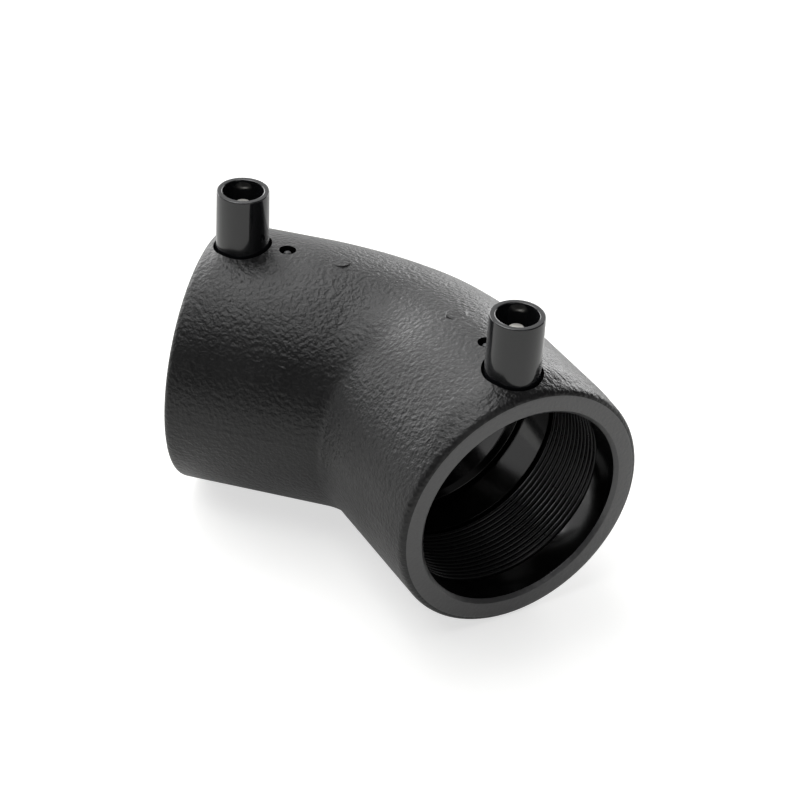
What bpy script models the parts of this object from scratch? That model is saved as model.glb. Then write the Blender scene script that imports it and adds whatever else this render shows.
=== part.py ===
"""A 45 degree electrofusion elbow for a 50 mm polyethylene pipe, lying on its side with its two terminals up.

Lengths are in metres. The two sockets' axes cross at the empty "axes_crossing". From there the front
socket runs to +X and -Y and the rear one to -X and -Y, so the plane X = 0 is the elbow's plane of symmetry,
the outside of the bend faces +Y and the terminals stand on the +Z side of both sockets. The origin is
the middle of the rectangle that the elbow covers on the ground.
"""

from math import atan2, cos, pi, radians, sin, tan

import bmesh
import bpy
from mathutils import Vector

MM = 0.001

# The moulded body. Its size is set by the 50 mm pipe that each socket takes.
BEND_ANGLE = radians(45)
BORE_RADIUS = 25.4 * MM
WALL = 6.1 * MM
LEG_LENGTH = 52.2 * MM  # from the crossing of the axes to a socket's face
INSIDE_CORNER = 3.0 * MM  # radius of the outside surface on the inside of the bend
RIM_ROUND = 2.0 * MM
MOUTH_CHAMFER = 0.9 * MM
STOP_HEIGHT = 2.8 * MM  # of the shoulder that a pipe comes up against
STOP_WIDTH = 2.0 * MM  # of that shoulder at its narrowest, on the inside of the bend

# The top of each leg is thicker, where the terminal and the indicator stand. It rises smoothly out of the round.
TOP_RISE = 1.9 * MM
TOP_RISE_REACH = radians(70)  # to each side of the top line
TOP_RISE_RUN_IN = 26.0 * MM  # from the crossing of the axes to the full height
TOP_RISE_RUN_OUT = 7.0 * MM  # from the full height to the socket's face

# The heating wire: one length, wound into both sockets and carried over between them.
WIRE_RADIUS = 0.55 * MM  # with its polyethylene coat
WINDING_PITCH = 1.45 * MM
WINDING_TURNS = 13
WINDING_BELOW_BORE = 0.1 * MM
WIRE_HOLE_CLEARANCE = 0.25 * MM  # less than FIT_GAP, so that a hole opens inside the winding's recess
LEAD_BEND = 1.0 * MM
LINK_BEND = 1.2 * MM

# The terminals: a shroud pressed into a round seat, and a 4 mm pin that the welding lead plugs onto.
TERMINAL_SETBACK = 9.0 * MM  # from a socket's face
SEAT_ABOVE_WINDING = 1.5 * MM
SEAT_CLEARANCE = 0.6 * MM
SHROUD_HEIGHT = 14.0 * MM  # above the top of the leg
SHROUD_RIM_RADIUS = 6.25 * MM
SHROUD_BASE_RADIUS = 6.45 * MM
SHROUD_EDGE = 0.3 * MM
WELL_RADIUS = 4.9 * MM
WELL_DEPTH = 12.4 * MM
PIN_RADIUS = 2.0 * MM
PIN_BELOW_RIM = 3.3 * MM
PIN_TIP_CHAMFER = 0.4 * MM
PIN_COLLAR_RADIUS = 3.2 * MM
PIN_COLLAR_HEIGHT = 2.0 * MM

# The fusion indicators: a small pin at the bottom of an open well, over the winding.
INDICATOR_SETBACK = 20.3 * MM  # from a socket's face
INDICATOR_RADIUS = 0.95 * MM
INDICATOR_BELOW_TOP = 0.5 * MM
INDICATOR_WELL_RADIUS = 2.05 * MM
INDICATOR_WELL_DEPTH = 2.2 * MM
INDICATOR_ABOVE_WINDING = 0.8 * MM

FIT_GAP = 0.3 * MM  # between pieces that sit on or in each other
OVERSHOOT = 1.0 * MM  # by which a cutter passes the surface that it opens

BODY_SIDES = 48
BEND_STEPS = 8
TERMINAL_SIDES = 28
SMALL_SIDES = 16
WIRE_STEPS_PER_TURN = 22

HALF_BEND = BEND_ANGLE / 2
LEGS = {"front": -HALF_BEND, "rear": pi + HALF_BEND}  # each socket's heading about Z
OUTER_RADIUS = BORE_RADIUS + WALL
BEND_RADIUS = OUTER_RADIUS + INSIDE_CORNER  # of the centre line
BEND_CENTRE_Y = -BEND_RADIUS / cos(HALF_BEND)
BEND_START = BEND_RADIUS * tan(HALF_BEND)  # from the crossing of the axes
TOP_HEIGHT = OUTER_RADIUS + TOP_RISE
WATERWAY_RADIUS = BORE_RADIUS - STOP_HEIGHT
STOP_FROM_CROSSING = BORE_RADIUS * tan(HALF_BEND) + STOP_WIDTH
WINDING_RADIUS = BORE_RADIUS + WINDING_BELOW_BORE + WIRE_RADIUS
RECESS_RADIUS = WINDING_RADIUS + WIRE_RADIUS + FIT_GAP
TERMINAL_FROM_CROSSING = LEG_LENGTH - TERMINAL_SETBACK
INDICATOR_FROM_CROSSING = LEG_LENGTH - INDICATOR_SETBACK
WINDING_END = TERMINAL_FROM_CROSSING - WINDING_TURNS * WINDING_PITCH
SEAT_FLOOR = RECESS_RADIUS + SEAT_ABOVE_WINDING
INDICATOR_FLOOR = RECESS_RADIUS + INDICATOR_ABOVE_WINDING
WIRE_HOLE_RADIUS = WIRE_RADIUS + WIRE_HOLE_CLEARANCE


def leg_point(heading, along, across=0.0, height=0.0):
    """A point given along a socket's axis, across it to the left of its heading, and above it."""
    ahead = Vector((cos(heading), sin(heading), 0))
    left = Vector((-sin(heading), cos(heading), 0))
    return ahead * along + left * across + Vector((0, 0, height))


def centre_line(stations, height=0.0):
    """The elbow's centre line, round the bend and with a point at each station (outermost first) of both legs."""
    points = [leg_point(LEGS["rear"], along, 0, height) for along in stations]
    for step in range(BEND_STEPS + 1):
        turn = pi / 2 + HALF_BEND - BEND_ANGLE * step / BEND_STEPS
        x, y = BEND_RADIUS * cos(turn), BEND_CENTRE_Y + BEND_RADIUS * sin(turn)
        points.append(Vector((x, y, height)))
    points += [leg_point(LEGS["front"], along, 0, height) for along in reversed(stations)]
    return points


def ease(part):
    """Goes smoothly from 0 to 1 as the part does."""
    part = min(max(part, 0), 1)
    return part * part * (3 - 2 * part)


def collection(name):
    made = bpy.data.collections.new(name)
    bpy.context.scene.collection.children.link(made)
    return made


def material(name, colour, roughness, metallic=0.0):
    made = bpy.data.materials.new(name)
    made.use_nodes = True
    shader = made.node_tree.nodes["Principled BSDF"]
    shader.inputs["Base Color"].default_value = (*colour, 1)
    shader.inputs["Roughness"].default_value = roughness
    shader.inputs["Metallic"].default_value = metallic
    made.diffuse_color = (*colour, 1)
    return made


def place(name, data, home, parent, location=(0, 0, 0), rotation=(0, 0, 0)):
    made = bpy.data.objects.new(name, data)
    home.objects.link(made)
    made.parent = parent
    made.location = location
    made.rotation_euler = rotation
    return made


def turned(name, profile, home, parent, location, rotation=(0, 0, 0), closed=False, sides=TERMINAL_SIDES):
    """A solid of revolution about its own Z. The profile's points are (radius, height), top to bottom outside."""
    mesh = bpy.data.meshes.new(name)
    count = len(profile)
    edges = [(i, i + 1) for i in range(count - 1)]
    if closed:
        edges.append((count - 1, 0))
    mesh.from_pydata([(radius, 0, height) for radius, height in profile], edges, [])
    made = place(name, mesh, home, parent, location, rotation)
    screw = made.modifiers.new("Turn", "SCREW")
    screw.axis = "Z"
    screw.steps = sides
    screw.render_steps = sides
    screw.use_smooth_shade = True
    screw.use_merge_vertices = True
    screw.merge_threshold = 0.01 * MM
    return made


def tube(name, points, radius, home, parent, sides):
    """A round bar along the points, with filled ends."""
    curve = bpy.data.curves.new(name, "CURVE")
    curve.dimensions = "3D"
    curve.bevel_depth = radius
    curve.bevel_resolution = (sides - 4) // 2
    curve.use_fill_caps = True
    spline = curve.splines.new("POLY")
    spline.points.add(len(points) - 1)
    for point, place_of_point in zip(spline.points, points):
        point.co = (*place_of_point, 1)
    return place(name, curve, home, parent)


def to_mesh(curve_object):
    """The same tube as a closed mesh, which can be cut and can cut."""
    bpy.context.view_layer.update()
    graph = bpy.context.evaluated_depsgraph_get()
    mesh = bpy.data.meshes.new_from_object(curve_object.evaluated_get(graph))
    form = bmesh.new()
    form.from_mesh(mesh)
    bmesh.ops.remove_doubles(form, verts=form.verts, dist=0.001 * MM)
    bmesh.ops.recalc_face_normals(form, faces=form.faces)
    form.to_mesh(mesh)
    form.free()
    mesh.shade_smooth()
    name, home = curve_object.name, curve_object.users_collection[0]
    parent, where = curve_object.parent, curve_object.matrix_world.copy()
    bpy.data.objects.remove(curve_object)
    mesh.name = name
    made = place(name, mesh, home, parent)
    made.matrix_world = where
    return made


def cut(target, tool):
    """Takes the tool's shape out of the target."""
    tool.hide_render = True
    tool.display_type = "WIRE"
    boolean = target.modifiers.new("Cut " + tool.name, "BOOLEAN")
    boolean.operation = "DIFFERENCE"
    boolean.solver = "EXACT"
    boolean.object = tool


def raise_leg_tops(body):
    """Lifts the bar's skin along the top of each leg."""
    for vertex in body.data.vertices:
        heading = LEGS["front" if vertex.co.x > 0 else "rear"]
        along = vertex.co.dot(leg_point(heading, 1))
        out = vertex.co - leg_point(heading, along)
        off_top = abs(atan2(out.dot(leg_point(heading, 0, 1)), out.z))
        run_in = ease(along / TOP_RISE_RUN_IN)
        run_out = ease((LEG_LENGTH - along) / TOP_RISE_RUN_OUT)
        vertex.co += out.normalized() * TOP_RISE * run_in * run_out * ease(1 - off_top / TOP_RISE_REACH)


def model_body(parts, tools, axes, plastic):
    """The moulded body: a bent bar with rounded ends, hollowed by a waterway and by two turned sockets."""
    run_out = [LEG_LENGTH - TOP_RISE_RUN_OUT * step / 2 for step in range(3)]
    run_in = [BEND_START + (TOP_RISE_RUN_IN - BEND_START) * step / 3 for step in (3, 2, 1)]
    bar = tube("elbow_body", centre_line(run_out + run_in), OUTER_RADIUS, parts, axes, BODY_SIDES)
    body = to_mesh(bar)
    raise_leg_tops(body)
    rounding = body.modifiers.new("Rim round", "BEVEL")
    rounding.width = RIM_ROUND
    rounding.segments = 3
    rounding.limit_method = "ANGLE"
    rounding.angle_limit = radians(60)
    rounding.use_clamp_overlap = False
    waterway_end = (STOP_FROM_CROSSING + LEG_LENGTH) / 2
    waterway = tube("waterway_tool", centre_line([waterway_end]), WATERWAY_RADIUS, tools, axes, BODY_SIDES)
    cut(body, to_mesh(waterway))
    link_end = WINDING_END + WIRE_RADIUS
    link_way = tube("link_way_tool", centre_line([link_end], WINDING_RADIUS), WIRE_HOLE_RADIUS, tools, axes, 12)
    cut(body, to_mesh(link_way))
    for side, heading in LEGS.items():
        cut(body, socket_tool(side, heading, tools, axes))
        cut(body, terminal_tool(side, heading, tools, axes))
        cut(body, indicator_tool(side, heading, tools, axes))
    body.data.materials.append(plastic)


def socket_tool(side, heading, tools, axes):
    """The hollow of one socket: mouth, outer cold zone, recess for the winding, inner cold zone and stop."""
    face = LEG_LENGTH
    mouth = BORE_RADIUS + MOUTH_CHAMFER
    recess_out = TERMINAL_FROM_CROSSING + WIRE_RADIUS + FIT_GAP
    recess_in = WINDING_END - WIRE_RADIUS - FIT_GAP
    profile = [
        (0, face + OVERSHOOT),
        (mouth + OVERSHOOT, face + OVERSHOOT),
        (BORE_RADIUS, face - MOUTH_CHAMFER),
        (BORE_RADIUS, recess_out),
        (RECESS_RADIUS, recess_out),
        (RECESS_RADIUS, recess_in),
        (BORE_RADIUS, recess_in),
        (BORE_RADIUS, STOP_FROM_CROSSING),
        (0, STOP_FROM_CROSSING),
    ]
    upright_to_leg = (0, pi / 2, heading)
    return turned(side + "_socket_tool", profile, tools, axes, (0, 0, 0), upright_to_leg, sides=BODY_SIDES)


def terminal_tool(side, heading, tools, axes):
    """The round seat of a shroud, and under it the hole that brings the wire up from the winding."""
    seat = SHROUD_BASE_RADIUS + SEAT_CLEARANCE
    profile = [
        (0, TOP_HEIGHT + OVERSHOOT),
        (seat, TOP_HEIGHT + OVERSHOOT),
        (seat, SEAT_FLOOR),
        (WIRE_HOLE_RADIUS, SEAT_FLOOR),
        (WIRE_HOLE_RADIUS, WINDING_RADIUS),
        (0, WINDING_RADIUS),
    ]
    return turned(side + "_terminal_tool", profile, tools, axes, leg_point(heading, TERMINAL_FROM_CROSSING))


def indicator_tool(side, heading, tools, axes):
    """The open well of a fusion indicator and the narrower blind hole that holds its pin."""
    floor = TOP_HEIGHT - INDICATOR_WELL_DEPTH
    hole = INDICATOR_RADIUS + FIT_GAP
    profile = [
        (0, TOP_HEIGHT + OVERSHOOT),
        (INDICATOR_WELL_RADIUS, TOP_HEIGHT + OVERSHOOT),
        (INDICATOR_WELL_RADIUS, floor),
        (hole, floor),
        (hole, INDICATOR_FLOOR),
        (0, INDICATOR_FLOOR),
    ]
    where = leg_point(heading, INDICATOR_FROM_CROSSING)
    return turned(side + "_indicator_tool", profile, tools, axes, where, sides=SMALL_SIDES)


def model_shroud(side, heading, parts, axes, plastic):
    """A terminal's shroud: a drafted cup with an open well, and a pocket underneath for the pin's collar."""
    foot = SEAT_FLOOR + FIT_GAP
    rim = TOP_HEIGHT + SHROUD_HEIGHT
    well_floor = rim - WELL_DEPTH
    pin_hole = PIN_RADIUS + FIT_GAP
    pocket = PIN_COLLAR_RADIUS + FIT_GAP
    pocket_top = foot + PIN_COLLAR_HEIGHT + FIT_GAP
    profile = [
        (SHROUD_RIM_RADIUS - SHROUD_EDGE, rim),
        (SHROUD_RIM_RADIUS, rim - SHROUD_EDGE),
        (SHROUD_BASE_RADIUS, foot + SHROUD_EDGE),
        (SHROUD_BASE_RADIUS - SHROUD_EDGE, foot),
        (pocket, foot),
        (pocket, pocket_top),
        (pin_hole, pocket_top),
        (pin_hole, well_floor),
        (WELL_RADIUS, well_floor),
        (WELL_RADIUS, rim - SHROUD_EDGE),
        (WELL_RADIUS + SHROUD_EDGE, rim),
    ]
    where = leg_point(heading, TERMINAL_FROM_CROSSING)
    made = turned(side + "_terminal_shroud", profile, parts, axes, where, closed=True)
    made.data.materials.append(plastic)


def model_pin(side, heading, parts, axes, metal):
    """A terminal's pin: a collar that keeps it in the shroud, a plain shaft and a chamfered tip."""
    foot = SEAT_FLOOR + FIT_GAP
    tip = TOP_HEIGHT + SHROUD_HEIGHT - PIN_BELOW_RIM
    profile = [
        (0, tip),
        (PIN_RADIUS - PIN_TIP_CHAMFER, tip),
        (PIN_RADIUS, tip - PIN_TIP_CHAMFER),
        (PIN_RADIUS, foot + PIN_COLLAR_HEIGHT),
        (PIN_COLLAR_RADIUS, foot + PIN_COLLAR_HEIGHT),
        (PIN_COLLAR_RADIUS, foot),
        (0, foot),
    ]
    where = leg_point(heading, TERMINAL_FROM_CROSSING)
    made = turned(side + "_terminal_pin", profile, parts, axes, where, sides=20)
    made.data.materials.append(metal)


def model_indicator(side, heading, parts, axes, plastic):
    """A fusion indicator's pin, which the melt lifts: it stands in its hole, a little below the surface."""
    foot = INDICATOR_FLOOR + FIT_GAP
    top = TOP_HEIGHT - INDICATOR_BELOW_TOP
    edge = INDICATOR_RADIUS / 4
    profile = [
        (0, top),
        (INDICATOR_RADIUS - edge, top),
        (INDICATOR_RADIUS, top - edge),
        (INDICATOR_RADIUS, foot),
        (0, foot),
    ]
    where = leg_point(heading, INDICATOR_FROM_CROSSING)
    made = turned(side + "_fusion_indicator", profile, parts, axes, where, sides=SMALL_SIDES)
    made.data.materials.append(plastic)


def front_wire():
    """The wire's front half: down from the pin, round the socket, and over the top to the plane X = 0."""

    def at(along, turn, radius):
        return leg_point(LEGS["front"], along, radius * sin(turn), radius * cos(turn))

    points = [at(TERMINAL_FROM_CROSSING, 0, SEAT_FLOOR)]
    for step in range(4):
        bend = pi / 2 * step / 4
        height = WINDING_RADIUS + LEAD_BEND * (1 - sin(bend))
        points.append(at(TERMINAL_FROM_CROSSING, LEAD_BEND * (1 - cos(bend)) / WINDING_RADIUS, height))
    first = LEAD_BEND / WINDING_RADIUS
    last = 2 * pi * WINDING_TURNS - LINK_BEND / WINDING_RADIUS
    steps = WINDING_TURNS * WIRE_STEPS_PER_TURN
    for step in range(steps + 1):
        part = step / steps
        along = TERMINAL_FROM_CROSSING + (WINDING_END - TERMINAL_FROM_CROSSING) * part
        points.append(at(along, first + (last - first) * part, WINDING_RADIUS))
    for step in range(1, 5):
        bend = pi / 2 * step / 4
        turn = last + LINK_BEND * sin(bend) / WINDING_RADIUS
        points.append(at(WINDING_END - LINK_BEND * (1 - cos(bend)), turn, WINDING_RADIUS))
    over_the_top = centre_line([WINDING_END], WINDING_RADIUS)[1:-1]
    return points + list(reversed(over_the_top))[: BEND_STEPS // 2 + 1]


def model_wire(parts, axes, coat):
    """The whole heating wire. Its rear half mirrors the front one."""
    front = front_wire()
    rear = [Vector((-point.x, point.y, point.z)) for point in reversed(front[:-1])]
    made = tube("heating_wire", front + rear, WIRE_RADIUS, parts, axes, 6)
    made.data.materials.append(coat)


def main():
    for old in list(bpy.data.objects):
        bpy.data.objects.remove(old)
    parts = collection("electrofusion_elbow")
    tools = collection("cutting_tools")

    # The elbow lies on the lowest lines of its body, and its footprint is centred on the origin.
    lowest_y = -((LEG_LENGTH - RIM_ROUND) * sin(HALF_BEND) + (OUTER_RADIUS - RIM_ROUND) * cos(HALF_BEND) + RIM_ROUND)
    highest_y = BEND_CENTRE_Y + BEND_RADIUS + OUTER_RADIUS
    axes = place("axes_crossing", None, parts, None, (0, -(lowest_y + highest_y) / 2, OUTER_RADIUS))

    body_plastic = material("black_polyethylene", (0.022, 0.022, 0.024), 0.55)
    shroud_plastic = material("glossy_black_polyethylene", (0.012, 0.012, 0.013), 0.25)
    tinned_brass = material("tinned_brass", (0.78, 0.75, 0.68), 0.25, 1.0)
    wire_coat = material("wire_coat", (0.015, 0.015, 0.016), 0.35)
    indicator_plastic = material("indicator_polyethylene", (0.35, 0.35, 0.34), 0.5)

    model_body(parts, tools, axes, body_plastic)
    for side, heading in LEGS.items():
        model_shroud(side, heading, parts, axes, shroud_plastic)
        model_pin(side, heading, parts, axes, tinned_brass)
        model_indicator(side, heading, parts, axes, indicator_plastic)
    model_wire(parts, axes, wire_coat)


main()
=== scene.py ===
"""The looks of a 45 degree electrofusion elbow for 50 mm pipe, on a pale table in soft light.

Lengths are in metres. The two sockets' axes cross at CROSSING. The front socket runs from there to +X
and -Y, and the rear one to -X and -Y. The outside of the bend faces +Y, and the terminals stand up.
"""

from math import atan2, ceil, cos, pi, radians, sin, tan

import bmesh
import bpy
import numpy as np
from bpy.props import FloatProperty, FloatVectorProperty, IntProperty, PointerProperty
from mathutils import Matrix, Vector


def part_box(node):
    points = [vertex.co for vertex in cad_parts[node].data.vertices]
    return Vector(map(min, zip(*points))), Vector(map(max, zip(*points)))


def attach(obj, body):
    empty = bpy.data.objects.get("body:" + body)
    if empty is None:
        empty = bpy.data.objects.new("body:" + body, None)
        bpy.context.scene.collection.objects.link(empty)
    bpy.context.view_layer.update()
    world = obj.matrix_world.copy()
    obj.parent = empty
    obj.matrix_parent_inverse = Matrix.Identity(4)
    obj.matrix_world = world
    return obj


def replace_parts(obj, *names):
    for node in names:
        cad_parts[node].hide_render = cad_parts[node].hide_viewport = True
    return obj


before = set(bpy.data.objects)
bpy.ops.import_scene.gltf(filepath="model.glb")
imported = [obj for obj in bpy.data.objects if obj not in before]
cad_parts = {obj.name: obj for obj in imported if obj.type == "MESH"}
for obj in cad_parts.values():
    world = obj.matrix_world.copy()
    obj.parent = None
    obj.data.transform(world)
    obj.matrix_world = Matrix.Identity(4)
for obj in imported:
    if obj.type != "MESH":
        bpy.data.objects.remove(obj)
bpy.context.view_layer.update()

bl_info = {
    "name": "Electrofusion elbow",
    "version": (1, 0, 0),
    "blender": (4, 5, 0),
    "location": "3D View > Sidebar > Elbow",
    "description": "A 45 degree electrofusion elbow with its winding, terminals and fusion indicators",
    "category": "Object",
}

MM = 0.001

# The moulded body, in the sizes that the solids have.
HALF_BEND = radians(22.5)
BORE_RADIUS = 25.4 * MM
OUTER_RADIUS = 31.5 * MM
LEG_LENGTH = 52.2 * MM  # from the crossing of the axes to a socket's face
BEND_RADIUS = 34.5 * MM
RIM_ROUND = 2.0 * MM
MOUTH_CHAMFER = 0.9 * MM
WATERWAY_RADIUS = 22.6 * MM
WATERWAY_LEAD = 0.6 * MM  # straight part between the pipe stop and the bend of the waterway
STOP_FROM_CROSSING = BORE_RADIUS * tan(HALF_BEND) + 2.0 * MM
TOP_RISE = 1.9 * MM  # how much thicker the top of each leg is
TOP_RISE_REACH = radians(70)  # down each side
TOP_RISE_RUN_IN = 26.0 * MM  # from the bend
TOP_RISE_RUN_OUT = 7.0 * MM  # to the rim
FINE_EDGE = 0.1 * MM  # fillet of an edge that is nearly sharp

# The winding.
WIRE_RADIUS = 0.55 * MM
WIRE_HOLE_RADIUS = 0.8 * MM
WINDING_RADIUS = 26.05 * MM
RECESS_RADIUS = 26.9 * MM
WINDING_PITCH = 1.45 * MM
WINDING_TURNS = 13
LEAD_BEND = 1.0 * MM  # where the lead up to a pin leaves the winding
LINK_BEND = 1.2 * MM  # where the link over the bend leaves it
WIRE_SIDES = 10
STEPS_PER_TURN = 72
STEPS_PER_BEND = 8

# The terminals and indicators.
TERMINAL_FROM_CROSSING = 43.2 * MM
INDICATOR_FROM_CROSSING = 31.9 * MM
SEAT_CLEARANCE = 0.6 * MM
INDICATOR_WELL_RADIUS = 2.05 * MM
INDICATOR_WELL_DEPTH = 2.2 * MM
INDICATOR_DOME = ((0, 0), (0.35, 0.03), (0.65, 0.11), (0.88, 0.28), (1, 0.55))  # share of radius, mm
SHROUD_TAPER = 0.2 * MM  # off the radius, from foot to rim
COLLAR_HEIGHT = 2.0 * MM  # of the collar at a pin's foot
TIP_CHAMFER = 0.35 * MM  # round a pin's flat tip
FIT_GAP = 0.3 * MM

# What only the looks need.
SKIN_STEP = 1.5 * MM  # between the body's rings along a leg
RING_GAP = 0.2 * MM  # between the last of them and the rim's first
SKIN_BEND_STEPS = 32
WATERWAY_BEND_STEPS = 22
# The rest of the round edge takes the faced rims' paler colour, which is partly painted light.
GRAIN_END = 0.65  # share of the rim's round edge, from outside, that is grained
GATE_FROM_CROSSING = 18.6 * MM
OVERLAP = 1.0 * MM  # how far a shape reaches past the skin that it joins or cuts
TABLE_HALF_WIDTH = 0.9

# Places that follow from these sizes and from the frame.
WINDING_END = TERMINAL_FROM_CROSSING - WINDING_TURNS * WINDING_PITCH
BEND_START = BEND_RADIUS * tan(HALF_BEND)
BEND_INSET = BEND_RADIUS * (1 / cos(HALF_BEND) - 1)  # from the crossing to the middle of the bend
TOP_HEIGHT = OUTER_RADIUS + TOP_RISE
BODY_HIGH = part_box("elbow_body")[1]
CROSSING = Vector((0, BODY_HIGH.y - OUTER_RADIUS + BEND_INSET, OUTER_RADIUS))
SHROUD_LOW, SHROUD_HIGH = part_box("front_terminal_shroud")
PIN_LOW, PIN_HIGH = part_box("front_terminal_pin")
INDICATOR_LOW, INDICATOR_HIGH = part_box("front_fusion_indicator")
UP = Vector((0, 0, 1))
SIDES = {"front": 1, "rear": -1}
GRAINED, FACED, POLISHED = range(3)  # the body's finishes, in the order of BODY_FINISHES

# The softboxes' middles, their widths and heights, and their levels.
SOFTBOXES = {
    # gives the outside of the bend its long bright edge
    "softbox_behind": ((-0.05, 1.30, 0.34), (1.20, 0.60), 5.0),
    # lights the front leg's flank
    "softbox_left": ((-1.25, 0.30, 0.45), (1.30, 0.60), 4.8),
    # spreads a broad sheen over the tops of both legs
    "softbox_high_left": ((-0.50, 0.23, 1.23), (0.80, 0.70), 3.5),
    # lights the upper half of the rear leg's flank, and leaves a dark band below
    "softbox_above": ((-0.22, -0.48, 1.23), (0.90, 0.70), 3.0),
    # fills in the front socket's face and mouth
    "softbox_right": ((1.10, -0.49, 0.62), (0.60, 0.60), 1.0),
}
WALL_DIRECTION = (-0.90, 0.42, 0.10)
WALL_EDGES = (0.2, 0.65)  # cosines of the angles from there at which the wall ends and is full


def linear(code):
    """An sRGB hex colour as linear red, green and blue."""
    parts = [int(code[i : i + 2], 16) / 255 for i in (1, 3, 5)]
    return tuple(part / 12.92 if part <= 0.04045 else ((part + 0.055) / 1.055) ** 2.4 for part in parts)


def length(name, description, default):
    """A setting for a length that can't be negative."""
    return FloatProperty(
        name=name, description=description, default=default, min=0, unit="LENGTH", precision=5
    )


def offset(name, description, default):
    """A setting for a length to either side."""
    return FloatProperty(name=name, description=description, default=default, unit="LENGTH", precision=5)


def rotation(name, description, default):
    """A setting for an angle, given here in degrees."""
    return FloatProperty(name=name, description=description, default=radians(default), subtype="ANGLE")


def brightness(name, description, default):
    """A setting for a brightness, at which 1 is white."""
    return FloatProperty(name=name, description=description, default=default, min=0)


def colour(name, description, default):
    """A setting for a colour, given here as an sRGB hex code."""
    return FloatVectorProperty(
        name=name, description=description, default=linear(default), subtype="COLOR", size=3, min=0, max=1
    )


class ElbowBodySettings(bpy.types.PropertyGroup):
    """The moulded body and its winding."""

    plastic: colour("Polyethylene", "Colour of the black pipe-grade polyethylene", "#101011")
    # The coat's colour is paler than the body's as painted light that lifts the wire's ridges in the
    # sockets.
    coat: colour("Wire coat", "Colour of the polyethylene coat of the wire", "#1a1a1b")
    # The faced rims' colour is paler than the skin partly as painted light on the faces, partly from the
    # tool's marks.
    faced: colour("Faced rims", "Colour of the polyethylene where the rims are faced off", "#424243")
    grain: length("Grain", "Width of a pebble of the mould's etched grain", 1.0 * MM)
    grain_depth: length(
        "Grain depth", "Full range of the grain's relief, of which most pebbles use a third", 0.31 * MM
    )
    parting_ridge: length(
        "Parting ridge", "Height of the soft ridge where the mould's halves meet", 0.05 * MM
    )
    parting_width: length("Parting width", "Half the width of that ridge", 0.6 * MM)
    gate_radius: length("Gate radius", "Radius of the round gate mark on each leg", 2.3 * MM)
    gate_height: length("Gate height", "Height of the gate mark's middle above the leg", 0.09 * MM)
    sides: IntProperty(name="Sides", description="Steps round the body", default=184, min=48, max=256)


class ElbowTerminalSettings(bpy.types.PropertyGroup):
    """The terminals and the fusion indicators."""

    shroud: colour("Shroud", "Colour of the terminals' glossy shrouds", "#17181a")
    tin: colour("Tin", "Colour of the pins' tin plating", "#e6e4de")
    indicator: colour("Indicator", "Colour of the fusion indicators", "#3a3b3c")
    shroud_wall: length("Shroud wall", "Thickness of a shroud's wall at its rim", 1.35 * MM)
    well_depth: length("Well depth", "Depth of a shroud's open well", 12.4 * MM)
    pin_radius: length("Pin radius", "Radius of a terminal's pin", 2.0 * MM)
    edge: length("Edge", "Radius on the edges of shrouds and pins", 0.3 * MM)


class ElbowStudioSettings(bpy.types.PropertyGroup):
    """The table, the lights and the camera."""

    table: colour("Table", "Colour of the table top", "#c6c6c4")
    room: brightness("Room", "Light from the dim side of the room", 0.06)
    wall: brightness("Wall", "Light from the white wall on the left", 0.95)
    seen_white: brightness("Seen white", "White that the camera sees added to the table", 0.65)
    reflected_white: brightness("Reflected white", "White that gloss sees added to the table", 0.25)
    lens: FloatProperty(
        name="Lens", description="Focal length in mm, for a sensor 36 mm wide", default=99.6
    )
    azimuth: rotation("Azimuth", "Camera's turn to the right", 36.3)
    elevation: rotation("Elevation", "Camera's height", 34.9)
    roll: rotation("Roll", "Camera's turn about its own axis", 3.4)
    distance: length("Distance", "From the camera to the point that it looks at", 536.5 * MM)
    aim_x: offset("Aim X", "From the axes' crossing to that point, along X", 0.72 * MM)
    aim_y: offset("Aim Y", "From the axes' crossing to that point, along Y", -4.6 * MM)


# Shapes


def leg_place(side, along, across=0.0, height=0.0):
    """A point given along a leg's axis, across it to the outside of the bend, and above it."""
    ahead = Vector((SIDES[side] * cos(HALF_BEND), -sin(HALF_BEND), 0))
    outward = Vector((SIDES[side] * sin(HALF_BEND), cos(HALF_BEND), 0))
    return CROSSING + ahead * along + outward * across + UP * height


def bend_place(turn, across=0.0, height=0.0):
    """The same in the bend. turn goes from -HALF_BEND at the rear leg to HALF_BEND at the front."""
    outward = Vector((sin(turn), cos(turn), 0))
    middle = CROSSING - Vector((0, BEND_RADIUS / cos(HALF_BEND), 0))
    return middle + outward * (BEND_RADIUS + across) + UP * height


def ease(part):
    """Goes smoothly from 0 to 1 as the part does."""
    part = min(max(part, 0), 1)
    return part * part * (3 - 2 * part)


def raised(point):
    """A point of the plain bent bar, lifted where the top of a leg is thicker."""
    side = "front" if point.x > CROSSING.x else "rear"
    from_crossing = point - CROSSING
    along = from_crossing.dot(leg_place(side, 1) - CROSSING)
    out = point - leg_place(side, along)
    off_top = abs(atan2(out.dot(leg_place(side, 0, 1) - CROSSING), out.z))
    share = ease(along / TOP_RISE_RUN_IN) * ease((LEG_LENGTH - along) / TOP_RISE_RUN_OUT)
    return point + out.normalized() * TOP_RISE * share * ease(1 - off_top / TOP_RISE_REACH)


def rounded(corners, closed=False, steps=4):
    """A line through the corners (x, y, fillet), with each corner turned to its fillet."""
    line = []
    count = len(corners)
    for i, (x, y, fillet) in enumerate(corners):
        here = Vector((x, y))
        if not fillet or (not closed and i in (0, count - 1)):
            line.append(here)
            continue
        before = Vector(corners[i - 1][:2]) - here
        after = Vector(corners[(i + 1) % count][:2]) - here
        reach = fillet / tan(before.angle(after) / 2)
        start = here + before.normalized() * reach
        end = here + after.normalized() * reach
        for step in range(steps + 1):
            part = step / steps
            line.append(start * (1 - part) ** 2 + here * 2 * part * (1 - part) + end * part**2)
    return line


def spaced(first, last, gap):
    """Values from first to last, about a gap apart."""
    return list(np.linspace(first, last, ceil(abs(last - first) / gap) + 1))


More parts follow.
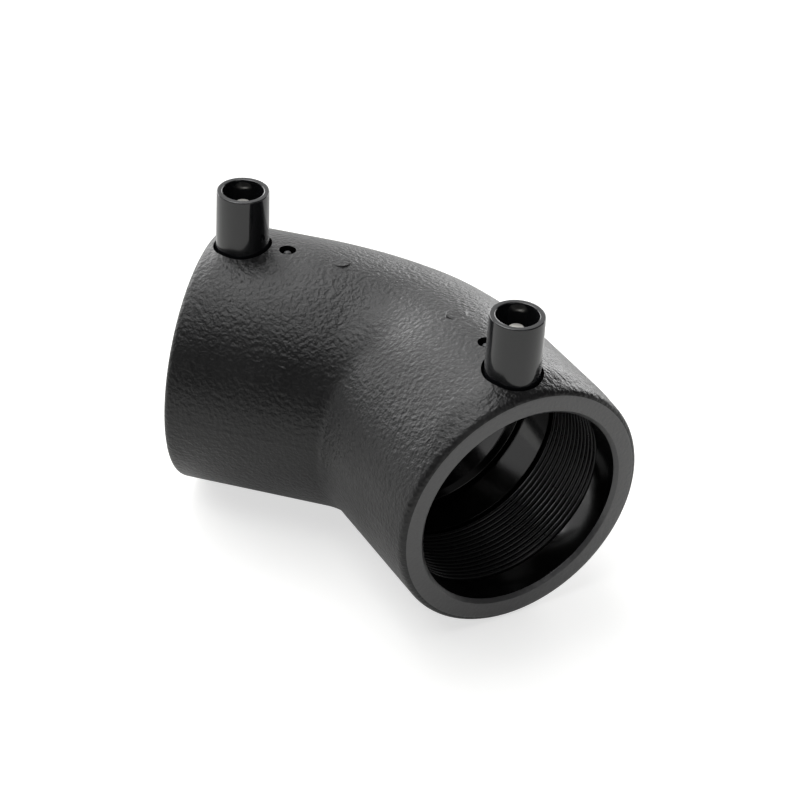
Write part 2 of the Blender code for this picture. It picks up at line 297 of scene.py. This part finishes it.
def add_piece(name, mesh, *materials):
    """A piece of the elbow: the mesh as an object that rides on the part."""
    piece = bpy.data.objects.new(name, mesh)
    bpy.context.scene.collection.objects.link(piece)
    for material in materials:
        mesh.materials.append(material)
    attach(piece, "root")
    return piece


def finish_mesh(mesh, sharp=32):
    """Merges double points, turns the faces outward, and shades them smooth between sharp edges."""
    same = 0.0005 * MM
    form = bmesh.new()
    form.from_mesh(mesh)
    bmesh.ops.remove_doubles(form, verts=form.verts, dist=same)
    bmesh.ops.dissolve_degenerate(form, edges=form.edges, dist=same)
    bmesh.ops.recalc_face_normals(form, faces=form.faces)
    form.to_mesh(mesh)
    form.free()
    mesh.shade_smooth()
    mesh.set_sharp_from_angle(angle=radians(sharp))


def loft(name, rings, closed, kinds=None):
    """A mesh through rings of as many points each. kinds gives the material index of each band."""
    count = len(rings[0])
    bands = len(rings) if closed else len(rings) - 1
    faces = []
    indices = []
    for band in range(bands):
        low = band * count
        high = (band + 1) % len(rings) * count
        for i in range(count):
            j = (i + 1) % count
            faces.append((low + i, low + j, high + j, high + i))
            indices.append(kinds[band] if kinds else 0)
    mesh = bpy.data.meshes.new(name)
    mesh.from_pydata([point for ring in rings for point in ring], [], faces)
    mesh.polygons.foreach_set("material_index", indices)
    return mesh


def turned(name, line, foot, sides=96, closed=False):
    """A solid of revolution about the upright line through foot, from points (radius, height)."""
    angles = [2 * pi * i / sides for i in range(sides)]
    rings = []
    for radius, height in line:
        radius = max(radius, 0.001 * MM)
        rings.append([foot + Vector((radius * cos(a), radius * sin(a), height)) for a in angles])
    mesh = loft(name, rings, closed)
    finish_mesh(mesh)
    return mesh


def tube(name, points, radius, sides):
    """A closed mesh of a round bar that follows the points."""
    curve = bpy.data.curves.new(name, "CURVE")
    curve.dimensions = "3D"
    curve.bevel_depth = radius
    curve.bevel_resolution = (sides - 4) // 2
    curve.use_fill_caps = True
    spline = curve.splines.new("POLY")
    spline.points.add(len(points) - 1)
    for point, place in zip(spline.points, points):
        point.co = (*place, 1)
    helper = bpy.data.objects.new(name, curve)
    bpy.context.scene.collection.objects.link(helper)
    bpy.context.view_layer.update()
    mesh = bpy.data.meshes.new_from_object(helper.evaluated_get(bpy.context.evaluated_depsgraph_get()))
    bpy.data.objects.remove(helper)
    finish_mesh(mesh, 50)
    return mesh


def worked(mesh, added, cut_out, materials):
    """The mesh with shapes added to it and others cut out of it. All share the list of materials."""
    for form in [mesh, *added, *cut_out]:
        for material in materials:
            form.materials.append(material)
    target = bpy.data.objects.new("target", mesh)
    bpy.context.scene.collection.objects.link(target)
    helpers = [target]
    for tool in added + cut_out:
        helper = bpy.data.objects.new(tool.name, tool)
        bpy.context.scene.collection.objects.link(helper)
        helpers.append(helper)
        boolean = target.modifiers.new(tool.name, "BOOLEAN")
        boolean.operation = "UNION" if tool in added else "DIFFERENCE"
        boolean.solver = "EXACT"
        boolean.object = helper
    bpy.context.view_layer.update()
    cut = bpy.data.meshes.new_from_object(target.evaluated_get(bpy.context.evaluated_depsgraph_get()))
    for helper in helpers:
        bpy.data.objects.remove(helper)
    return cut


def centre_line(end, height, steps=24):
    """The elbow's centre line, raised by height, from the rear leg round the bend to the front one."""
    points = [leg_place("rear", end, 0, height)]
    points += [bend_place(HALF_BEND * (2 * i / steps - 1), 0, height) for i in range(steps + 1)]
    points.append(leg_place("front", end, 0, height))
    return points


def socket_line():
    """One socket's outline (radius, along): over the rim, and then down to the waterway."""
    recess_out = TERMINAL_FROM_CROSSING + WIRE_RADIUS + FIT_GAP
    recess_in = WINDING_END - WIRE_RADIUS - FIT_GAP
    rim = rounded([
        (OUTER_RADIUS, LEG_LENGTH - 2 * RIM_ROUND, 0),
        (OUTER_RADIUS, LEG_LENGTH, RIM_ROUND),
        (BORE_RADIUS + 2 * MOUTH_CHAMFER, LEG_LENGTH, 0),
    ], steps=10)
    mouth = rounded([
        (BORE_RADIUS + 2 * MOUTH_CHAMFER, LEG_LENGTH, 0),
        (BORE_RADIUS + MOUTH_CHAMFER, LEG_LENGTH, 0.18 * MM),
        (BORE_RADIUS, LEG_LENGTH - MOUTH_CHAMFER, 0.3 * MM),
        (BORE_RADIUS, recess_out, FINE_EDGE),
        (RECESS_RADIUS, recess_out, 0),
        (RECESS_RADIUS, recess_in, 0),
        (BORE_RADIUS, recess_in, FINE_EDGE),
        (BORE_RADIUS, STOP_FROM_CROSSING, 0.25 * MM),
        (WATERWAY_RADIUS, STOP_FROM_CROSSING, 0.3 * MM),
        (WATERWAY_RADIUS, STOP_FROM_CROSSING - WATERWAY_LEAD, 0),
    ])
    return rim, mouth


def socket_finish(radius, along):
    """The finish at a point of a socket's outline. The grain ends on the rim's round edge."""
    if radius > OUTER_RADIUS - GRAIN_END * RIM_ROUND:
        return GRAINED
    if along > LEG_LENGTH - MOUTH_CHAMFER:
        return FACED
    return POLISHED


def body_angles(settings):
    """Angles round the section from the outside of the bend, with close ones at both parting lines."""
    angles = [2 * pi * i / settings.sides for i in range(settings.sides)]
    shares = (-1, -0.65, -0.3, 0.3, 0.65, 1)
    near = [share * 0.9 * settings.parting_width / OUTER_RADIUS for share in shares]
    return sorted([a % (2 * pi) for a in angles + near + [pi + n for n in near]])


def body_mesh(settings):
    """The body's whole skin: outside, rims, sockets and waterway, as one closed loop of rings."""
    angles = body_angles(settings)

    def ring(place, radius, ridged=False):
        points = []
        for angle in angles:
            here = radius
            if ridged:
                from_parting = abs(sin(angle)) * OUTER_RADIUS
                here += settings.parting_ridge * ease(1 - from_parting / settings.parting_width)
            points.append(place(here * cos(angle), here * sin(angle)))
        return points

    def leg_ring(side, along, radius, ridged=False):
        return ring(lambda across, height: leg_place(side, along, across, height), radius, ridged)

    def bend_ring(turn, radius, ridged=False):
        return ring(lambda across, height: bend_place(turn, across, height), radius, ridged)

    rim, mouth = socket_line()
    straight = spaced(BEND_START, LEG_LENGTH - 2 * RIM_ROUND - RING_GAP, SKIN_STEP)
    turns = np.linspace(-HALF_BEND, HALF_BEND, SKIN_BEND_STEPS + 1)[1:-1]
    skin = [leg_ring("rear", along, OUTER_RADIUS, True) for along in reversed(straight)]
    skin += [bend_ring(turn, OUTER_RADIUS, True) for turn in turns]
    skin += [leg_ring("front", along, OUTER_RADIUS, True) for along in straight]
    outside = [leg_ring("rear", along, radius) for radius, along in reversed(rim)] + skin
    outside += [leg_ring("front", along, radius) for radius, along in rim]
    rings = [[raised(point) for point in ring_points] for ring_points in outside]
    rings += [leg_ring("front", along, radius) for radius, along in mouth[1:]]
    inner = np.linspace(HALF_BEND, -HALF_BEND, WATERWAY_BEND_STEPS + 1)[1:-1]
    rings += [bend_ring(turn, WATERWAY_RADIUS) for turn in inner]
    rings += [leg_ring("rear", along, radius) for radius, along in reversed(mouth[1:])]
    outline = rim + mouth[1:]
    socket = [socket_finish(*((p + q) / 2)) for p, q in zip(outline, outline[1:])]
    turn_in = len(rim) - 1
    kinds = socket[:turn_in][::-1] + [GRAINED] * (len(skin) + 1) + socket
    kinds += [POLISHED] * (len(inner) + 1) + socket[turn_in:][::-1]
    mesh = loft("moulded_body", rings, True, kinds)
    finish_mesh(mesh)
    return mesh


def gate_marks(settings):
    """A low round stub on each leg, where the gate was trimmed off level."""
    skin = OUTER_RADIUS + TOP_RISE * ease(GATE_FROM_CROSSING / TOP_RISE_RUN_IN)
    radius = settings.gate_radius
    line = rounded([
        (0, skin + settings.gate_height, 0), (radius, skin + settings.gate_height, FINE_EDGE),
        (radius, skin - OVERLAP, 0), (0, skin - OVERLAP, 0),
    ])
    return [turned(f"{side}_gate", line, leg_place(side, GATE_FROM_CROSSING), 72) for side in SIDES]


def body_tools():
    """What is cut out of the skin: seats, wire holes, indicator wells and the wire's tunnel."""
    top = TOP_HEIGHT + OVERLAP
    seat_floor = SHROUD_LOW.z - FIT_GAP - CROSSING.z
    seat = (SHROUD_HIGH.x - SHROUD_LOW.x) / 2 + SEAT_CLEARANCE
    well_floor = TOP_HEIGHT - INDICATOR_WELL_DEPTH
    hole = (INDICATOR_HIGH.x - INDICATOR_LOW.x) / 2 + FIT_GAP
    hole_floor = INDICATOR_LOW.z - FIT_GAP - CROSSING.z
    terminal = [
        (0, top), (seat, top), (seat, seat_floor), (WIRE_HOLE_RADIUS, seat_floor),
        (WIRE_HOLE_RADIUS, WINDING_RADIUS), (0, WINDING_RADIUS),
    ]
    well = [
        (0, top), (INDICATOR_WELL_RADIUS, top), (INDICATOR_WELL_RADIUS, well_floor),
        (hole, well_floor), (hole, hole_floor), (0, hole_floor),
    ]
    tunnel = centre_line(WINDING_END + WIRE_RADIUS, WINDING_RADIUS)
    tools = [tube("wire_tunnel", tunnel, WIRE_HOLE_RADIUS, 12)]
    for side in SIDES:
        terminal_place = leg_place(side, TERMINAL_FROM_CROSSING)
        indicator_place = leg_place(side, INDICATOR_FROM_CROSSING)
        tools.append(turned(f"{side}_terminal_tool", terminal, terminal_place, 96))
        tools.append(turned(f"{side}_indicator_tool", well, indicator_place, 72))
    for tool in tools:
        tool.polygons.foreach_set("material_index", [POLISHED] * len(tool.polygons))
    return tools


def wire_points():
    """The wire's whole run: down from the front pin, round both sockets, and up to the rear pin."""

    def front(along, turn, radius):
        return leg_place("front", along, radius * sin(turn), radius * cos(turn))

    under_pin = PIN_LOW.z - FIT_GAP - CROSSING.z
    bends = [pi / 2 * step / STEPS_PER_BEND for step in range(STEPS_PER_BEND + 1)]
    points = [front(TERMINAL_FROM_CROSSING, 0, under_pin)]
    for bend in bends[:-1]:
        around = LEAD_BEND * (1 - cos(bend)) / WINDING_RADIUS
        height = WINDING_RADIUS + LEAD_BEND * (1 - sin(bend))
        points.append(front(TERMINAL_FROM_CROSSING, around, height))
    first = LEAD_BEND / WINDING_RADIUS
    last = 2 * pi * WINDING_TURNS - LINK_BEND / WINDING_RADIUS
    for part in np.linspace(0, 1, WINDING_TURNS * STEPS_PER_TURN + 1):
        along = TERMINAL_FROM_CROSSING + (WINDING_END - TERMINAL_FROM_CROSSING) * part
        points.append(front(along, first + (last - first) * part, WINDING_RADIUS))
    for bend in bends[1:]:
        along = WINDING_END - LINK_BEND * (1 - cos(bend))
        around = last + LINK_BEND * sin(bend) / WINDING_RADIUS
        points.append(front(along, around, WINDING_RADIUS))
    link = list(reversed(centre_line(WINDING_END, WINDING_RADIUS)))
    points += link[1 : len(link) // 2 + 1]
    return points + [Vector((-p.x, p.y, p.z)) for p in reversed(points[:-1])]


# Materials


def node(tree, kind, inputs=None, **settings):
    """Adds a node. Each input is a value, or the output that is linked to it."""
    made = tree.nodes.new(kind)
    for name, value in settings.items():
        setattr(made, name, value)
    for name, value in (inputs or {}).items():
        if isinstance(value, bpy.types.NodeSocket):
            tree.links.new(value, made.inputs[name])
        else:
            made.inputs[name].default_value = value
    return made


def new_material(name):
    """An empty material, its node tree, its shader and the place on the object in metres."""
    material = bpy.data.materials.new(name)
    material.use_nodes = True
    tree = material.node_tree
    tree.nodes.clear()
    shader = node(tree, "ShaderNodeBsdfPrincipled")
    output = node(tree, "ShaderNodeOutputMaterial")
    tree.links.new(shader.outputs["BSDF"], output.inputs["Surface"])
    place = node(tree, "ShaderNodeTexCoord").outputs["Object"]
    return material, tree, shader, place


def etch_grained_polyethylene(settings):
    """Black polyethylene, moulded in a steel mould with an etched grain.

    The eye sees a soft sheen broken up by low pebbles, and a faint cloudiness where the melt cooled
    unevenly.
    """
    material, tree, shader, place = new_material("etch_grained_polyethylene")
    pebbles = node(tree, "ShaderNodeTexNoise", {
        "Vector": place, "Scale": 1 / settings.grain, "Detail": 2.0, "Roughness": 0.5,
    })
    cloud = node(tree, "ShaderNodeTexNoise", {
        "Vector": place, "Scale": 1 / (14 * MM), "Detail": 3.0,
    })
    tone = node(tree, "ShaderNodeMix", {
        "Factor": cloud.outputs["Fac"],
        "A": (*[part * 0.86 for part in settings.plastic], 1),
        "B": (*[part * 1.14 for part in settings.plastic], 1),
    }, data_type="RGBA")
    gloss = node(tree, "ShaderNodeMapRange", {
        "Value": cloud.outputs["Fac"], "From Min": 0.3, "From Max": 0.7,
        "To Min": 0.37, "To Max": 0.45,
    })
    relief = node(tree, "ShaderNodeBump", {
        "Height": pebbles.outputs["Fac"], "Distance": settings.grain_depth, "Strength": 1.0,
    })
    tree.links.new(tone.outputs["Result"], shader.inputs["Base Color"])
    tree.links.new(gloss.outputs["Result"], shader.inputs["Roughness"])
    tree.links.new(relief.outputs["Normal"], shader.inputs["Normal"])
    shader.inputs["IOR"].default_value = 1.5
    shader.inputs["Specular IOR Level"].default_value = 0.5
    return material


def faced_polyethylene_painted_light(settings):
    """The same plastic on the rims, faced off in a lathe.

    The eye sees an even satin, paler than the skin partly as painted light, partly from the tool's marks.
    They are too fine to show, so they are drawn 0.9 mm wide.
    """
    material, tree, shader, place = new_material("faced_polyethylene_painted_light")
    marks = node(tree, "ShaderNodeTexNoise", {
        "Vector": place, "Scale": 1 / (0.9 * MM), "Detail": 3.0,
    })
    gloss = node(tree, "ShaderNodeMapRange", {
        "Value": marks.outputs["Fac"], "To Min": 0.26, "To Max": 0.42,
    })
    relief = node(tree, "ShaderNodeBump", {"Height": marks.outputs["Fac"], "Distance": 0.12 * MM})
    tree.links.new(gloss.outputs["Result"], shader.inputs["Roughness"])
    tree.links.new(relief.outputs["Normal"], shader.inputs["Normal"])
    # Paler than the skin: partly painted light on the rims' faces, partly the tool's fine marks.
    shader.inputs["Base Color"].default_value = (*settings.faced, 1)
    shader.inputs["IOR"].default_value = 1.5
    shader.inputs["Specular IOR Level"].default_value = 1.0
    return material


def core_polished_polyethylene_painted_shade(settings):
    """The same plastic inside the sockets, moulded on a polished steel core, and darkened there as
    painted shade.

    The eye sees a clearer sheen that shows the light from the other socket. The polish's own marks
    are too fine to show, so they are drawn 1.2 mm wide.
    """
    material, tree, shader, place = new_material("core_polished_polyethylene_painted_shade")
    draw = node(tree, "ShaderNodeTexNoise", {
        "Vector": place, "Scale": 1 / (1.2 * MM), "Detail": 3.0,
    })
    gloss = node(tree, "ShaderNodeMapRange", {
        "Value": draw.outputs["Fac"], "To Min": 0.1, "To Max": 0.18,
    })
    relief = node(tree, "ShaderNodeBump", {"Height": draw.outputs["Fac"], "Distance": 0.004 * MM})
    tree.links.new(gloss.outputs["Result"], shader.inputs["Roughness"])
    tree.links.new(relief.outputs["Normal"], shader.inputs["Normal"])
    # Painted shade: the skin's colour cut to 0.4 in the sockets, the waterway and the cut seats and
    # wells.
    shader.inputs["Base Color"].default_value = (*[part * 0.4 for part in settings.plastic], 1)
    shader.inputs["IOR"].default_value = 1.5
    shader.inputs["Specular IOR Level"].default_value = 0.6
    return material


def coated_wire(settings):
    """Resistance wire in a thin extruded coat of black polyethylene, paler than the body as painted
    light.

    The eye sees fine dark ridges with a soft line of light on each. The coat's own unevenness is drawn
    1.5 mm wide, because a finer one wouldn't show.
    """
    material, tree, shader, place = new_material("coated_wire")
    draw = node(tree, "ShaderNodeTexNoise", {
        "Vector": place, "Scale": 1 / (1.5 * MM), "Detail": 2.0,
    })
    gloss = node(tree, "ShaderNodeMapRange", {
        "Value": draw.outputs["Fac"], "To Min": 0.24, "To Max": 0.34,
    })
    relief = node(tree, "ShaderNodeBump", {"Height": draw.outputs["Fac"], "Distance": 0.01 * MM})
    tree.links.new(gloss.outputs["Result"], shader.inputs["Roughness"])
    tree.links.new(relief.outputs["Normal"], shader.inputs["Normal"])
    # Painted light: a paler colour than the body's, to lift the ridges deep in the sockets.
    shader.inputs["Base Color"].default_value = (*settings.coat, 1)
    shader.inputs["IOR"].default_value = 1.5
    return material


def shroud_polyethylene(settings):
    """Black polyethylene from a polished mould, for the terminals' shrouds.

    The eye sees a dark gloss with soft upright reflections, and faint draw marks along the pull of the
    mould. They are drawn half a millimetre wide, coarser than real ones.
    """
    material, tree, shader, place = new_material("shroud_polyethylene")
    along_pull = node(tree, "ShaderNodeMapping", {"Vector": place, "Scale": (1, 1, 0.06)})
    draw = node(tree, "ShaderNodeTexNoise", {
        "Vector": along_pull.outputs["Vector"], "Scale": 1 / (0.5 * MM), "Detail": 2.0,
    })
    gloss = node(tree, "ShaderNodeMapRange", {
        "Value": draw.outputs["Fac"], "To Min": 0.08, "To Max": 0.15,
    })
    relief = node(tree, "ShaderNodeBump", {"Height": draw.outputs["Fac"], "Distance": 0.004 * MM})
    tree.links.new(gloss.outputs["Result"], shader.inputs["Roughness"])
    tree.links.new(relief.outputs["Normal"], shader.inputs["Normal"])
    shader.inputs["Base Color"].default_value = (*settings.shroud, 1)
    shader.inputs["IOR"].default_value = 1.5
    shader.inputs["Specular IOR Level"].default_value = 0.72
    return material


def tinned_brass(settings):
    """Brass, turned to size and plated with tin.

    The eye sees a pale grey metal, bright on the tip, with the tool's rings and a slight cloudiness.
    Real rings are too fine to show, so these are drawn three quarters of a millimetre apart.
    """
    material, tree, shader, place = new_material("tinned_brass")
    rings = node(tree, "ShaderNodeTexWave", {
        "Vector": place, "Scale": 1 / (2.4 * MM), "Distortion": 0.6, "Detail": 1.0,
    }, bands_direction="Z")
    cloud = node(tree, "ShaderNodeTexNoise", {
        "Vector": place, "Scale": 1 / (0.9 * MM), "Detail": 2.0,
    })
    gloss = node(tree, "ShaderNodeMapRange", {
        "Value": cloud.outputs["Fac"], "To Min": 0.3, "To Max": 0.42,
    })
    relief = node(tree, "ShaderNodeBump", {"Height": rings.outputs["Fac"], "Distance": 0.006 * MM})
    tree.links.new(gloss.outputs["Result"], shader.inputs["Roughness"])
    tree.links.new(relief.outputs["Normal"], shader.inputs["Normal"])
    shader.inputs["Base Color"].default_value = (*settings.tin, 1)
    shader.inputs["Metallic"].default_value = 1.0
    return material


def indicator_polyethylene(settings):
    """Dark grey polyethylene, moulded as a small smooth pin.

    The eye sees a point of light on a dark pin at the bottom of its well. The skin's unevenness is
    drawn 0.4 mm wide, coarser than the real one.
    """
    material, tree, shader, place = new_material("indicator_polyethylene")
    skin = node(tree, "ShaderNodeTexNoise", {
        "Vector": place, "Scale": 1 / (0.4 * MM), "Detail": 2.0,
    })
    gloss = node(tree, "ShaderNodeMapRange", {
        "Value": skin.outputs["Fac"], "To Min": 0.25, "To Max": 0.4,
    })
    relief = node(tree, "ShaderNodeBump", {"Height": skin.outputs["Fac"], "Distance": 0.005 * MM})
    tree.links.new(gloss.outputs["Result"], shader.inputs["Roughness"])
    tree.links.new(relief.outputs["Normal"], shader.inputs["Normal"])
    shader.inputs["Base Color"].default_value = (*settings.indicator, 1)
    shader.inputs["IOR"].default_value = 1.5
    return material


def pale_laminate(settings):
    """A table top of matt pale laminate.

    The camera sees it white with the elbow's shadow on it, and gloss sees some of that white.
    """
    material, tree, shader, place = new_material("pale_laminate")
    mottle = node(tree, "ShaderNodeTexNoise", {
        "Vector": place, "Scale": 1 / (3 * MM), "Detail": 2.0,
    })
    relief = node(tree, "ShaderNodeBump", {"Height": mottle.outputs["Fac"], "Distance": 0.01 * MM})
    tree.links.new(relief.outputs["Normal"], shader.inputs["Normal"])
    shader.inputs["Base Color"].default_value = (*settings.table, 1)
    shader.inputs["Roughness"].default_value = 0.9
    shader.inputs["Specular IOR Level"].default_value = 0.1
    path = node(tree, "ShaderNodeLightPath").outputs
    seen = node(tree, "ShaderNodeMath", {
        0: path["Is Camera Ray"], 1: settings.seen_white,
    }, operation="MULTIPLY")
    bent = node(tree, "ShaderNodeMath", {
        0: path["Is Glossy Ray"], 1: path["Is Transmission Ray"],
    }, operation="MAXIMUM")
    reflected = node(tree, "ShaderNodeMath", {
        0: bent.outputs["Value"], 1: settings.reflected_white,
    }, operation="MULTIPLY")
    share = node(tree, "ShaderNodeMath", {
        0: seen.outputs["Value"], 1: reflected.outputs["Value"],
    }, operation="ADD")
    white = node(tree, "ShaderNodeEmission", {
        "Color": (1, 1, 1, 1), "Strength": share.outputs["Value"],
    })
    both = node(tree, "ShaderNodeAddShader", {0: shader.outputs["BSDF"], 1: white.outputs["Emission"]})
    output = next(n for n in tree.nodes if n.type == "OUTPUT_MATERIAL")
    tree.links.new(both.outputs["Shader"], output.inputs["Surface"])
    return material


BODY_FINISHES = (etch_grained_polyethylene, faced_polyethylene_painted_light, core_polished_polyethylene_painted_shade)


# Pieces


class ELBOW_OT_moulded_body(bpy.types.Operator):
    """Adds the moulded body with its sockets, seats, indicator wells, gate marks and parting line"""

    bl_idname = "elbow.moulded_body"
    bl_label = "Moulded body"

    def execute(self, context):
        settings = context.scene.elbow_body
        finishes = [finish(settings) for finish in BODY_FINISHES]
        mesh = worked(body_mesh(settings), gate_marks(settings), body_tools(), finishes)
        mesh.name = "moulded_body"
        finish_mesh(mesh)
        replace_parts(add_piece("moulded_body", mesh), "elbow_body")
        return {"FINISHED"}


class ELBOW_OT_heating_wire(bpy.types.Operator):
    """Adds the heating wire, wound into both sockets and led up to both pins"""

    bl_idname = "elbow.heating_wire"
    bl_label = "Heating wire"

    def execute(self, context):
        mesh = tube("wound_wire", wire_points(), WIRE_RADIUS, WIRE_SIDES)
        coat = coated_wire(context.scene.elbow_body)
        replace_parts(add_piece("wound_wire", mesh, coat), "heating_wire")
        return {"FINISHED"}


class ELBOW_OT_terminals(bpy.types.Operator):
    """Adds a shroud and a tinned pin on each leg"""

    bl_idname = "elbow.terminals"
    bl_label = "Terminals"

    def execute(self, context):
        settings = context.scene.elbow_terminals
        plastic = shroud_polyethylene(settings)
        metal = tinned_brass(settings)
        foot = SHROUD_LOW.z - CROSSING.z
        rim = SHROUD_HIGH.z - CROSSING.z
        base = (SHROUD_HIGH.x - SHROUD_LOW.x) / 2
        outer = base - SHROUD_TAPER
        well = outer - settings.shroud_wall
        hole = settings.pin_radius + FIT_GAP
        pocket = (PIN_HIGH.x - PIN_LOW.x) / 2 + FIT_GAP
        pocket_top = foot + COLLAR_HEIGHT + FIT_GAP
        well_floor = rim - settings.well_depth
        shroud_line = rounded([
            (outer, rim, settings.edge), (base, foot, settings.edge), (pocket, foot, FINE_EDGE),
            (pocket, pocket_top, 0), (hole, pocket_top, 0), (hole, well_floor, FINE_EDGE),
            (well, well_floor, 0.5 * MM), (well, rim, settings.edge),
        ], closed=True, steps=5)
        tip = PIN_HIGH.z - CROSSING.z
        collar = (PIN_HIGH.x - PIN_LOW.x) / 2
        collar_top = foot + COLLAR_HEIGHT
        pin_line = rounded([
            (0, tip, 0), (settings.pin_radius - TIP_CHAMFER, tip, 0.12 * MM),
            (settings.pin_radius, tip - TIP_CHAMFER, 0.2 * MM), (settings.pin_radius, collar_top, 0),
            (collar, collar_top, 0.15 * MM), (collar, foot, 0.15 * MM), (0, foot, 0),
        ])
        for side in SIDES:
            where = leg_place(side, TERMINAL_FROM_CROSSING)
            cup = turned(f"{side}_shroud", shroud_line, where, 96, closed=True)
            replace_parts(add_piece(f"{side}_shroud", cup, plastic), f"{side}_terminal_shroud")
            pin = turned(f"{side}_pin", pin_line, where, 64)
            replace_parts(add_piece(f"{side}_pin", pin, metal), f"{side}_terminal_pin")
        return {"FINISHED"}


class ELBOW_OT_fusion_indicators(bpy.types.Operator):
    """Adds a fusion indicator in its well on each leg"""

    bl_idname = "elbow.fusion_indicators"
    bl_label = "Fusion indicators"

    def execute(self, context):
        plastic = indicator_polyethylene(context.scene.elbow_terminals)
        radius = (INDICATOR_HIGH.x - INDICATOR_LOW.x) / 2
        top = INDICATOR_HIGH.z - CROSSING.z
        foot = INDICATOR_LOW.z - CROSSING.z
        dome = [(radius * share, top - drop * MM) for share, drop in INDICATOR_DOME]
        line = dome + [(radius, foot), (0, foot)]
        for side in SIDES:
            mesh = turned(f"{side}_indicator", line, leg_place(side, INDICATOR_FROM_CROSSING), 40)
            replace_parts(add_piece(f"{side}_indicator", mesh, plastic), f"{side}_fusion_indicator")
        return {"FINISHED"}


class ELBOW_OT_studio(bpy.types.Operator):
    """Adds the table, the soft lights and the camera"""

    bl_idname = "elbow.studio"
    bl_label = "Studio"

    def execute(self, context):
        settings = context.scene.elbow_studio
        table = bpy.data.meshes.new("table")
        form = bmesh.new()
        bmesh.ops.create_grid(form, x_segments=4, y_segments=4, size=TABLE_HALF_WIDTH)
        form.to_mesh(table)
        form.free()
        table.materials.append(pale_laminate(settings))
        top = bpy.data.objects.new("table", table)
        context.scene.collection.objects.link(top)
        add_room(settings)
        for name, (place, size, level) in SOFTBOXES.items():
            add_softbox(name, place, size, level)
        add_camera(settings)
        return {"FINISHED"}


def add_room(settings):
    """The room's light: a white wall on the left and dim sides elsewhere. The camera sees it white."""
    world = bpy.data.worlds.new("room")
    bpy.context.scene.world = world
    world.use_nodes = True
    tree = world.node_tree
    tree.nodes.clear()
    direction = node(tree, "ShaderNodeTexCoord").outputs["Generated"]
    towards = node(tree, "ShaderNodeVectorMath", {
        0: direction, 1: WALL_DIRECTION,
    }, operation="DOT_PRODUCT")
    level = node(tree, "ShaderNodeMapRange", {
        "Value": towards.outputs["Value"], "From Min": WALL_EDGES[0], "From Max": WALL_EDGES[1],
        "To Min": settings.room, "To Max": settings.wall,
    }, interpolation_type="SMOOTHSTEP")
    path = node(tree, "ShaderNodeLightPath").outputs
    seen = node(tree, "ShaderNodeMath", {
        0: path["Is Camera Ray"], 1: level.outputs["Result"],
    }, operation="MAXIMUM")
    light = node(tree, "ShaderNodeBackground", {
        "Color": (1, 1, 1, 1), "Strength": seen.outputs["Value"],
    })
    node(tree, "ShaderNodeOutputWorld", {"Surface": light.outputs["Background"]})


def add_softbox(name, place, size, level):
    """A rectangular softbox that faces the elbow. At level 1 it looks as white as paper."""
    data = bpy.data.lights.new(name, "AREA")
    data.shape = "RECTANGLE"
    data.size, data.size_y = size
    data.energy = level * pi * size[0] * size[1]
    lamp = bpy.data.objects.new(name, data)
    lamp.location = place
    lamp.rotation_euler = (CROSSING - Vector(place)).to_track_quat("-Z", "Y").to_euler()
    bpy.context.scene.collection.objects.link(lamp)


def add_camera(settings):
    """The camera at the photograph's place, to the right of the elbow's front, looking down at it."""
    data = bpy.data.cameras.new("camera")
    data.lens = settings.lens
    data.sensor_width = 36.0
    data.clip_start = 0.01
    azimuth, elevation, roll = settings.azimuth, settings.elevation, settings.roll
    back = Vector((sin(azimuth) * cos(elevation), -cos(azimuth) * cos(elevation), sin(elevation)))
    right = (-back).cross(UP).normalized()
    up = right.cross(-back)
    across = right * cos(roll) + up * sin(roll)
    above = up * cos(roll) - right * sin(roll)
    place = CROSSING + Vector((settings.aim_x, settings.aim_y, 0)) + back * settings.distance
    camera = bpy.data.objects.new("camera", data)
    camera.matrix_world = Matrix((across, above, back)).transposed().to_4x4()
    camera.location = place
    bpy.context.scene.collection.objects.link(camera)
    bpy.context.scene.camera = camera


class ELBOW_PT_panel(bpy.types.Panel):
    """Lists the elbow's pieces and their sizes"""

    bl_label = "Electrofusion elbow"
    bl_idname = "ELBOW_PT_panel"
    bl_space_type = "VIEW_3D"
    bl_region_type = "UI"
    bl_category = "Elbow"

    def draw(self, context):
        for operator in OPERATORS:
            self.layout.operator(operator.bl_idname)
        for group in GROUPS:
            box = self.layout.box()
            settings = getattr(context.scene, group)
            for name in settings.__annotations__:
                box.prop(settings, name)


OPERATORS = (
    ELBOW_OT_moulded_body,
    ELBOW_OT_heating_wire,
    ELBOW_OT_terminals,
    ELBOW_OT_fusion_indicators,
    ELBOW_OT_studio,
)
GROUPS = {
    "elbow_body": ElbowBodySettings,
    "elbow_terminals": ElbowTerminalSettings,
    "elbow_studio": ElbowStudioSettings,
}
CLASSES = (*GROUPS.values(), *OPERATORS, ELBOW_PT_panel)


def register():
    for item in CLASSES:
        bpy.utils.register_class(item)
    for name, group in GROUPS.items():
        setattr(bpy.types.Scene, name, PointerProperty(type=group))


def unregister():
    for name in GROUPS:
        delattr(bpy.types.Scene, name)
    for item in reversed(CLASSES):
        bpy.utils.unregister_class(item)


def main():
    register()
    bpy.context.scene.view_settings.view_transform = "Standard"
    bpy.ops.elbow.moulded_body()
    bpy.ops.elbow.heating_wire()
    bpy.ops.elbow.terminals()
    bpy.ops.elbow.fusion_indicators()
    bpy.ops.elbow.studio()
    bpy.context.view_layer.update()


if __name__ == "__main__":
    main()
